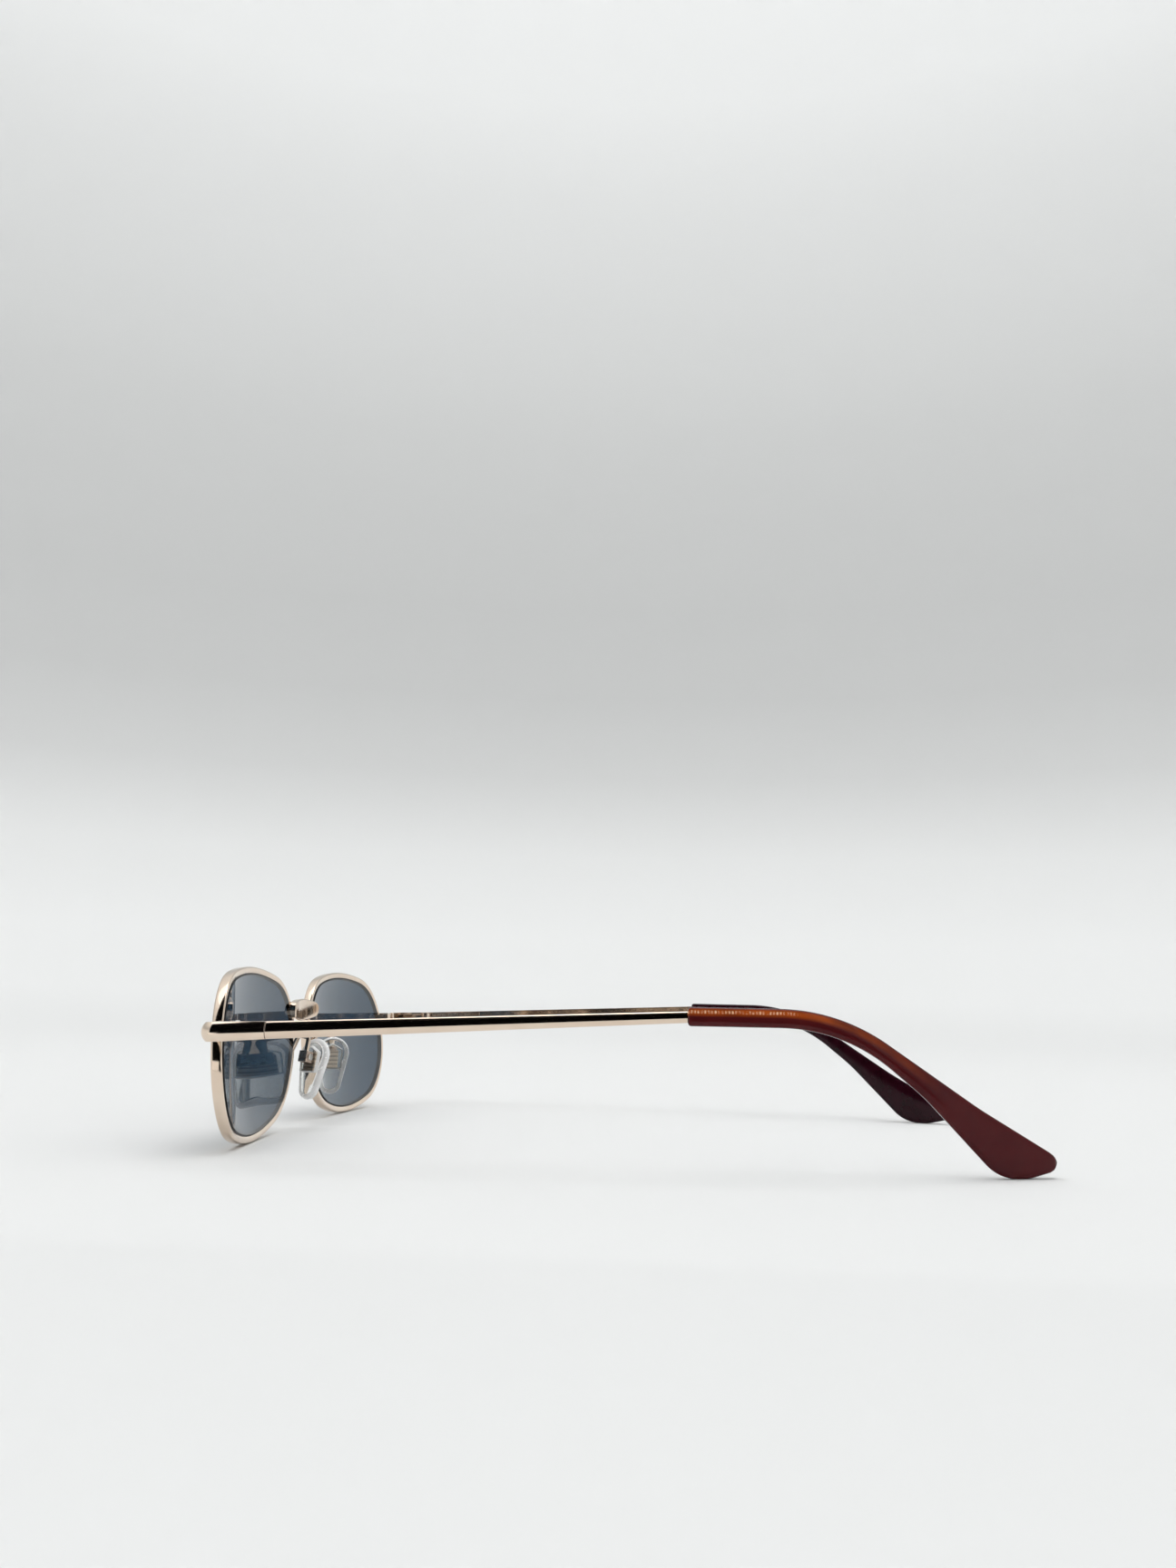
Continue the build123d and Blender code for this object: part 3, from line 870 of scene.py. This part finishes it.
@dataclass
class Eyewire:
    """One eyewire: a rounded band round the lens, grooved inside and open at the slit."""

    side: Side
    face: EyeFace
    edge_round: float = 0.42 * MM
    lip_round: float = 0.12 * MM
    groove_depth: float = 0.45 * MM
    groove_width: float = 1.0 * MM
    slit_gap: float = 0.15 * MM
    sharp_deg: float = 40.0

    def section(self) -> list[Flat]:
        """Draws the band's section.

        Returns:
            Its points: distances in from the outline and ahead of the face.
        """
        width, depth = self.face.rim_width, self.face.rim_depth
        low, high = (depth - self.groove_width) / 2.0, (depth + self.groove_width) / 2.0
        floor = width - self.groove_depth
        return rounded([(0.0, 0.0, self.edge_round), (0.0, depth, self.edge_round),
                        (width, depth, self.lip_round), (width, high, 0.0), (floor, high, 0.0),
                        (floor, low, 0.0), (width, low, 0.0), (width, 0.0, self.lip_round)])

    def slit_level(self) -> float:
        """The slit's height, midway between the two closing blocks."""
        upper, lower = (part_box(self.side.named(f"closing_block_{which}")) for which in ("upper", "lower"))
        return (upper[0][2] + lower[1][2]) / 2.0

    def build(self, dresser: Dresser) -> bpy.types.Object:
        """Makes the eyewire and puts it in place of the CAD node.

        Args:
            dresser: What holds the nodes and finishes.

        Returns:
            The eyewire.
        """
        face, slit = self.face, self.slit_level()
        piece = MeshPiece(self.side.named("eyewire"))
        levels = [face.place(point, 0.0).z for point in face.outline]
        outer = [k for k, point in enumerate(face.outline) if point.x > 0.0]
        start = min(outer, key=lambda k: abs(levels[k] - slit))
        order = [(start + k) % len(levels) for k in range(1, len(levels))]
        lines = [[face.place(point, depth) for point in face.inset(inset)] for inset, depth in self.section()]
        for end, sense in ((order[0], 1.0), (order[-1], -1.0)):
            above = sense if levels[order[0]] > slit else -sense
            shift = (slit + above * self.slit_gap / 2.0 - levels[end]) / face.upward.z
            for line in lines:
                line[end] = line[end] + face.upward * shift
        loops = [piece.ring([line[k] for line in lines]) for k in order]
        for before, after in zip(loops, loops[1:]):
            piece.bridge(before, after)
        piece.face(loops[0])
        piece.face(loops[-1])
        made = piece.build([dresser.material(FRAME_METAL)], self.sharp_deg)
        return dresser.stand_in(made, self.side.named("rim"), "front")


@dataclass
class Lens:
    """One lens: a curved plate with a bevelled, ground edge and a tongue in the eyewire's groove."""

    side: Side
    face: EyeFace
    thickness: float = 1.8 * MM
    clearance: float = 0.05 * MM
    bevel: float = 0.28 * MM
    bevel_drop: float = 0.15 * MM
    back_proud: float = 0.24 * MM
    back_bevel: float = 0.2 * MM
    back_knee_share: float = 0.6
    seat: float = 0.1 * MM
    seat_drop: float = 0.01 * MM
    tongue: float = 0.4 * MM
    tongue_width: float = 0.9 * MM
    shrink_shares: tuple[float, ...] = (0.97, 0.85, 0.68, 0.5, 0.32, 0.15)
    sharp_deg: float = 20.0

    def build(self, dresser: Dresser) -> bpy.types.Object:
        """Makes the lens and puts it in place of the CAD node.

        Args:
            dresser: What holds the nodes and finishes.

        Returns:
            The lens.
        """
        face = self.face
        edge, middle = face.rim_width + self.clearance, face.rim_depth / 2.0
        front, back = middle + self.thickness / 2.0, -self.back_proud
        high, low = middle + self.tongue_width / 2.0, middle - self.tongue_width / 2.0
        steps = [(edge + self.bevel, front), (edge, front - self.bevel_drop), (edge, high),
                 (edge - self.tongue, high), (edge - self.tongue, low), (edge, low), (edge, self.seat),
                 (edge - self.seat, -self.seat_drop), (edge, back * self.back_knee_share),
                 (edge + self.back_bevel, back)]
        piece = MeshPiece(self.side.named("smoke_lens"))
        rings = [piece.ring([face.place(p, depth) for p in face.inset(inset)]) for inset, depth in steps]
        for before, after in zip(rings, rings[1:]):
            # the lens's edge strips take the near-black edge finish, partly painted shade for the gap between
            # lens and eyewire
            piece.bridge(before, after, 1)
        for outer, (inset, depth) in ((rings[0], steps[0]), (rings[-1], steps[-1])):
            rim = face.inset(inset)
            for share in self.shrink_shares:
                inner = piece.ring([face.place(p * share, depth) for p in rim])
                piece.bridge(outer, inner)
                outer = inner
            piece.fan(outer, face.place(Vector((0.0, 0.0)), depth))
        made = piece.build([dresser.material(SMOKE), dresser.material(LENS_EDGE_AND_GAP_SHADE)], self.sharp_deg)
        return dresser.stand_in(made, self.side.named("lens"), "front")


@dataclass
class Sleeve:
    """One temple tip: a smooth sleeve with rounded edges, bent down behind the ear into a paddle."""

    side: Side
    stations: int = 90
    points: int = 48
    squareness: float = 3.4
    mouth_round: float = 0.6 * MM
    mouth_share: float = 0.009
    mouth_step_shares: tuple[float, ...] = (0.0, 0.06, 0.2, 0.4, 0.65, 1.0)
    run_shares: Flat = (0.012, 0.988)
    nose_share: float = 0.022
    nose_least_share: float = 0.3
    nose_step_shares: tuple[float, ...] = (0.9925, 0.9965, 0.999)
    sliced_shares: Flat = (0.0006, 0.9996)
    sharp_deg: float = 60.0

    def slice(self, node: bpy.types.Object, level: float) -> tuple[float, float, float, float]:
        """The reach of the CAD node's section at a distance back.

        Args:
            node: The CAD node.
            level: The section's y.

        Returns:
            The lowest and highest x, and the lowest and highest z.
        """
        model = bmesh.new()
        model.from_mesh(node.data)
        cut = bmesh.ops.bisect_plane(model, geom=model.verts[:] + model.edges[:] + model.faces[:],
                                     plane_co=(0.0, level, 0.0), plane_no=(0.0, 1.0, 0.0))["geom_cut"]
        places = [item.co.copy() for item in cut if isinstance(item, bmesh.types.BMVert)]
        model.free()
        xs, zs = [p.x for p in places], [p.z for p in places]
        return min(xs), max(xs), min(zs), max(zs)

    def shares(self) -> list[float]:
        """Chooses where the rings lie, closer together round the mouth and the end.

        Returns:
            Shares of the sleeve's length from the mouth.
        """
        start, end = self.run_shares
        mouth = [self.mouth_share * step for step in self.mouth_step_shares]
        run = [start + (end - start) * k / self.stations for k in range(self.stations + 1)]
        return mouth + run + list(self.nose_step_shares)

    def half_sizes(self, share: float, width: float, height: float) -> Flat:
        """Rounds the section off near the mouth and the end.

        Args:
            share: The ring's place, as a share of the sleeve's length.
            width: The section's whole width there.
            height: The section's whole height there.

        Returns:
            Half the ring's width and half its height.
        """
        inward = 1.0 - min(1.0, share / self.mouth_share)
        drawn = self.mouth_round * (1.0 - math.sqrt(1.0 - inward**2))
        onward = max(0.0, 1.0 - (1.0 - share) / self.nose_share)
        taper = self.nose_least_share + (1.0 - self.nose_least_share) * math.sqrt(max(0.0, 1.0 - onward**2))
        return (width / 2.0 - drawn) * taper, (height / 2.0 - drawn) * taper

    def build(self, dresser: Dresser) -> bpy.types.Object:
        """Makes the sleeve and puts it in place of the CAD node.

        Args:
            dresser: What holds the nodes and finishes.

        Returns:
            The sleeve.
        """
        name = self.side.named("temple_tip")
        low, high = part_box(name)
        length = high[1] - low[1]
        first, last = self.sliced_shares
        turns = [math.tau * k / self.points for k in range(self.points)]
        square = [tuple(math.copysign(abs(reach)**(2.0 / self.squareness), reach)
                        for reach in (math.cos(turn), math.sin(turn))) for turn in turns]
        rises = [z * 0.5 + 0.5 for _, z in square]
        faces = [x * self.side.value * 0.5 + 0.5 for x, _ in square]
        piece = MeshPiece(self.side.named("sleeve"))
        rings = []
        for share in self.shares():
            level = low[1] + length * min(max(share, first), last)
            west, east, floor, roof = self.slice(dresser.nodes[name], level)
            wide, tall = self.half_sizes(share, east - west, roof - floor)
            middle = Vector(((east + west) / 2.0, low[1] + length * share, (roof + floor) / 2.0))
            ring = [middle + Vector((x * wide, 0.0, z * tall)) for x, z in square]
            rings.append(piece.ring(ring, rise=rises, run=share, face=faces))
        for before, after in zip(rings, rings[1:]):
            piece.bridge(before, after)
        piece.face(rings[0])
        piece.face(rings[-1])
        made = piece.build([dresser.material(SLEEVE)], self.sharp_deg)
        return dresser.stand_in(made, name, self.side.named("temple"))


@dataclass
class Front:
    """The front: eyewires, lenses, bridge, closing blocks, end pieces, hinge halves, pad arms and screws."""

    plated: tuple[str, ...] = ("closing_block_upper", "closing_block_lower", "end_piece", "pad_arm")
    hinged: tuple[str, ...] = ("front_hinge",)
    screws: tuple[str, ...] = ("rim_screw", "hinge_screw", "pad_screw")

    def build(self, dresser: Dresser) -> None:
        """Dresses the front's nodes and makes its eyewires and lenses.

        Args:
            dresser: What holds the nodes and finishes.
        """
        metals = {FRAME_METAL: self.plated, HINGE_METAL: self.hinged, SCREW_METAL: self.screws}
        dresser.dress(FRAME_METAL, "bridge")
        for side in Side:
            for metal, pieces in metals.items():
                dresser.dress(metal, *(side.named(piece) for piece in pieces))
            face = EyeFace(side, dresser.nodes[side.named("rim")], dresser.nodes[side.named("lens")])
            Eyewire(side, face).build(dresser)
            Lens(side, face).build(dresser)


@dataclass
class NosePad:
    """One nose pad: a clear rounded drop with a frosted edge painted milky white as a highlight, and the
    house-shaped boss on its back.
    """

    side: Side
    middle: Point = (8.2 * MM, -71.25 * MM, 13.3 * MM)
    splay: float = math.radians(22.0)
    lean: float = math.radians(12.0)
    top_radius: float = 3.8 * MM
    foot_radius: float = 2.5 * MM
    length: float = 13.4 * MM
    thickness: float = 2.0 * MM
    step: float = 0.25 * MM
    step_inset: float = 1.0 * MM
    step_undercut: float = 0.12 * MM
    step_curve: tuple[Flat, ...] = ((0.15 * MM, 0.0), (0.0, 0.06 * MM))
    border_curve: tuple[Flat, ...] = ((0.3 * MM, 0.05 * MM), (0.1 * MM, 0.2 * MM), (0.0, 0.5 * MM))
    cushion_inset: float = 1.3 * MM
    cushion_rise: float = 0.95 * MM
    cushion_steps: int = 6
    drop_edge_highlight: range = range(1, 8)
    house_width: float = 4.6 * MM
    house_height: float = 4.6 * MM
    house_roof: float = 1.3 * MM
    house_lift: float = 1.3 * MM
    house_thickness: float = 0.9 * MM
    house_round: float = 0.5 * MM
    house_seat: float = 0.01 * MM
    house_curve_shares: tuple[Flat, ...] = ((1.0, 0.8), (0.95, 0.96), (0.88, 1.0))
    house_edge_highlight: range = range(3)
    stations: int = 72
    sharp_deg: float = 50.0

    def place(self, rear: float, up: float, out: float) -> Vector:
        """The place in the row frame of a point on the pad's plane.

        Args:
            rear: How far to the rear along the pad's back.
            up: How far up along the pad's back.
            out: How far away from the nose.

        Returns:
            The place.
        """
        turn = Matrix.Rotation(-self.splay, 3, "Z")
        back = turn @ Vector((0.0, 1.0, 0.0))
        away = turn @ (Matrix.Rotation(-self.lean, 3, "Y") @ Vector((1.0, 0.0, 0.0)))
        point = Vector(self.middle) + back * rear + away.cross(back) * up + away * out
        return Vector((point.x * self.side.value, point.y, point.z))

    def drop(self, inset: float, out: float) -> list[Vector]:
        """Draws the drop's outline.

        Args:
            inset: How far in from the drop's edge it lies.
            out: How far from the drop's back it lies.

        Returns:
            The outline's places.
        """
        places = []
        rise, fall = self.length / 2.0 - self.top_radius, self.foot_radius - self.length / 2.0
        for k in range(self.stations):
            angle = math.tau * (k + 0.5) / self.stations
            across, along = math.cos(angle), math.sin(angle)
            upper = self.top_radius + rise * along > self.foot_radius + fall * along
            radius, centre = (self.top_radius, rise) if upper else (self.foot_radius, fall)
            places.append(self.place((radius - inset) * across, centre + (radius - inset) * along, out))
        return places

    def house(self, share: float, out: float) -> list[Vector]:
        """Draws the boss's outline.

        Args:
            share: The outline's size as a share of the whole boss's.
            out: How far from the drop's back it lies.

        Returns:
            The outline's places.
        """
        half, lift = self.house_width / 2.0, self.house_lift
        foot = lift - self.house_height / 2.0
        eaves = foot + self.house_height
        corners = [(-half, foot), (half, foot), (half, eaves), (0.0, eaves + self.house_roof), (-half, eaves)]
        outline = rounded([(x, y, self.house_round) for x, y in corners])
        return [self.place(x * share, lift + (y - lift) * share, out) for x, y in outline]

    def drop_section(self) -> list[Flat]:
        """Draws the drop's section, from the back over the stepped border to the cushion.

        Returns:
            Distances in from the drop's edge and out from its back.
        """
        section = [(self.step_inset + across, -down) for across, down in self.step_curve]
        section.append((self.step_inset - self.step_undercut, -self.step))
        section += [(across, -self.step - down) for across, down in self.border_curve]
        for step in range(self.cushion_steps + 1):
            angle = math.pi / 2.0 * step / self.cushion_steps
            section.append((self.cushion_inset * (1.0 - math.cos(angle)),
                            self.cushion_rise * (1.0 - math.sin(angle)) - self.thickness))
        return section

    def shell(self, piece: MeshPiece, rings: list[list[Vector]], frosted: range) -> None:
        """Adds a closed shell of rings.

        Args:
            piece: The mesh under way.
            rings: The rings' places, from one end to the other.
            frosted: The numbers of the strips that have the frosted edge finish, painted milky white as a
                highlight.
        """
        numbers = [piece.ring(ring) for ring in rings]
        for k, (before, after) in enumerate(zip(numbers, numbers[1:])):
            piece.bridge(before, after, 1 if k in frosted else 0)
        piece.face(numbers[0])
        piece.face(numbers[-1])

    def build(self, dresser: Dresser) -> bpy.types.Object:
        """Makes the pad and puts it in place of the CAD node.

        Args:
            dresser: What holds the nodes and finishes.

        Returns:
            The pad.
        """
        piece = MeshPiece(self.side.named("clear_pad"))
        self.shell(piece, [self.drop(inset, out) for inset, out in self.drop_section()], self.drop_edge_highlight)
        walls = [self.house(share, self.house_thickness * level) for share, level in self.house_curve_shares]
        self.shell(piece, [self.house(1.0, self.house_seat), *walls], self.house_edge_highlight)
        made = piece.build([dresser.material(CLEAR), dresser.material(FROSTED_EDGE_HIGHLIGHT)], self.sharp_deg)
        return dresser.stand_in(made, self.side.named("nose_pad"), self.side.named("pad"))


@dataclass
class NosePads:
    """The nose pads with their inserts and boxes."""

    box_metal: PlatedMetal = DARK_METAL
    insert_metal: RibbedMetal = INSERT_METAL

    def build(self, dresser: Dresser) -> None:
        """Makes the pads and dresses their inserts and boxes.

        Args:
            dresser: What holds the nodes and finishes.
        """
        for side in Side:
            NosePad(side).build(dresser)
            dresser.dress(self.insert_metal, side.named("pad_insert"))
            dresser.dress(self.box_metal, side.named("pad_box"))


@dataclass
class Temples:
    """The temples: bars with their hinge leaves and translucent tips."""

    bar_metal: PlatedMetal = FRAME_METAL
    leaf_metal: PlatedMetal = HINGE_METAL

    def build(self, dresser: Dresser) -> None:
        """Dresses the temples' nodes and makes their tips.

        Args:
            dresser: What holds the nodes and finishes.
        """
        for side in Side:
            dresser.dress(self.bar_metal, side.named("temple"))
            dresser.dress(self.leaf_metal, side.named("temple_hinge"))
            Sleeve(side).build(dresser)


@dataclass
class Studio:
    """A pale dish-shaped sheet, a soft light above, cards for the metal to mirror, and the camera.

    Sizes are in metres. Each of the canopy's rows is its x, the y of its front and of its back, and its z.
    The eye is the camera's place, and forward and upward are its directions.
    """

    flat_radius: float = 0.7
    bend_radius: float = 0.9
    bend_steps: int = 12
    wall_height: float = 2.2
    turns: int = 96
    sharp_deg: float = 30.0
    light_size: float = 0.9
    light_height: float = 1.3
    light_power: float = 3.8
    world_colour: Colour = (0.985, 0.985, 1.0)
    world_strength: float = 1.78
    canopy_shade: float = 0.003
    canopy_rows: tuple[tuple[float, float, float, float], ...] = (
        (0.135, -0.108, 0.13, 0.0006), (0.40, -0.27, 0.24, 0.004), (0.70, -0.44, 0.34, 0.03),
        (0.72, -0.46, 0.36, 0.35), (0.56, -0.40, 0.36, 0.56), (0.30, -0.32, 0.34, 0.68),
        (0.0, -0.24, 0.30, 0.72))
    bounce_x: float = 0.094
    bounce_y: Flat = (-0.100, -0.076)
    bounce_z: Flat = (0.009, 0.0187)
    bounce_shade: float = 0.98
    bounce_glow: float = 0.25
    eye: Point = (0.28821, 0.01466, 0.03058)
    forward: Point = (-0.98225, -0.08840, 0.16545)
    upward: Point = (0.16665, -0.00627, 0.98600)
    lens_mm: float = 28.89
    sensor_mm: float = 36.0
    nearest: float = 0.005
    farthest: float = 20.0

    def sheet(self, material: bpy.types.Material) -> None:
        """Lays the sheet: a flat floor that curves up into a wall all round.

        Args:
            material: The sheet's material.
        """
        bend = [math.pi / 2.0 * step / self.bend_steps for step in range(self.bend_steps + 1)]
        profile = [(self.flat_radius + self.bend_radius * math.sin(angle),
                    self.bend_radius * (1.0 - math.cos(angle))) for angle in bend]
        profile.append((profile[-1][0], profile[-1][1] + self.wall_height))
        spokes = [math.tau * k / self.turns for k in range(self.turns)]
        piece = MeshPiece("studio_sheet")
        rings = []
        for radius, height in profile:
            rings.append(piece.ring([(radius * math.cos(spoke), radius * math.sin(spoke), height)
                                     for spoke in spokes]))
        piece.fan(rings[0], (0.0, 0.0, 0.0))
        for lower, upper in zip(rings, rings[1:]):
            piece.bridge(lower, upper)
        piece.build([material], self.sharp_deg)

    def card(self, name: str, points: list[Point], shade: float, glow: float = 0.0) -> None:
        """Hangs a card that only gloss sees.

        Args:
            name: The card's name.
            points: The places of its rows, two to a row.
            shade: How light its matt paper is.
            glow: How much light it adds of its own.
        """
        mesh = bpy.data.meshes.new(name)
        mesh.from_pydata(points, [], [(k, k + 1, k + 3, k + 2) for k in range(0, len(points) - 2, 2)])
        recipe = Recipe(name)
        recipe.shade({"Base Color": (shade, shade, shade), "Roughness": 1.0, "Specular IOR Level": 0.0,
                      "Emission Color": (1.0, 1.0, 1.0), "Emission Strength": glow})
        mesh.materials.append(recipe.material)
        card = hang(name, mesh)
        card.visible_camera = False
        card.visible_diffuse = False
        card.visible_shadow = False
        card.visible_transmission = False

    def cards(self) -> None:
        """Hangs the black canopy that draws the dark band along polished metal, and a white card below it
        that glows a little, so that the metal mirrors it as pale as the floor.
        """
        canopy = [(x, y, z) for x, front, back, z in self.canopy_rows for y in (front, back)]
        bounce = [(self.bounce_x, y, z) for z in self.bounce_z for y in self.bounce_y]
        self.card("black_canopy", canopy, self.canopy_shade)
        self.card("white_card", bounce, self.bounce_shade, self.bounce_glow)

    def lights(self) -> None:
        """Hangs the soft light and sets the pale surroundings."""
        world = bpy.data.worlds.new("pale_room")
        world.use_nodes = True
        background = world.node_tree.nodes["Background"]
        background.inputs["Color"].default_value = (*self.world_colour, 1.0)
        background.inputs["Strength"].default_value = self.world_strength
        bpy.context.scene.world = world
        lamp = bpy.data.lights.new("softbox", "AREA")
        lamp.shape = "SQUARE"
        lamp.size = self.light_size
        lamp.energy = self.light_power
        softbox = hang("softbox", lamp)
        softbox.location = (0.0, 0.0, self.light_height)
        softbox.visible_camera = False

    def camera(self) -> None:
        """Places the camera where the photograph was taken from."""
        data = bpy.data.cameras.new("camera")
        data.sensor_fit = "VERTICAL"
        data.sensor_height = self.sensor_mm
        data.sensor_width = self.sensor_mm
        data.lens = self.lens_mm
        data.clip_start = self.nearest
        data.clip_end = self.farthest
        data.dof.use_dof = False
        forward = Vector(self.forward).normalized()
        right = forward.cross(Vector(self.upward)).normalized()
        turn = Matrix((right, right.cross(forward), -forward)).transposed().to_4x4()
        camera = hang("camera", data)
        camera.matrix_world = Matrix.Translation(self.eye) @ turn
        bpy.context.scene.camera = camera

    def build(self) -> None:
        """Sets up the sheet, the cards, the lights, the camera and the way the picture is toned."""
        self.sheet(PaleSheet("white_sheet").material())
        self.cards()
        self.lights()
        self.camera()
        bpy.context.scene.view_settings.view_transform = "Standard"
        log.info("studio: sheet, cards, softbox and camera")


def main() -> None:
    """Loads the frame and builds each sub-assembly in order."""
    logging.basicConfig(level=logging.INFO, format="%(name)s: %(message)s")
    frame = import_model()
    dresser = Dresser(frame["nodes"])
    Front().build(dresser)
    NosePads().build(dresser)
    Temples().build(dresser)
    Studio().build()


if __name__ == "__main__":
    main()
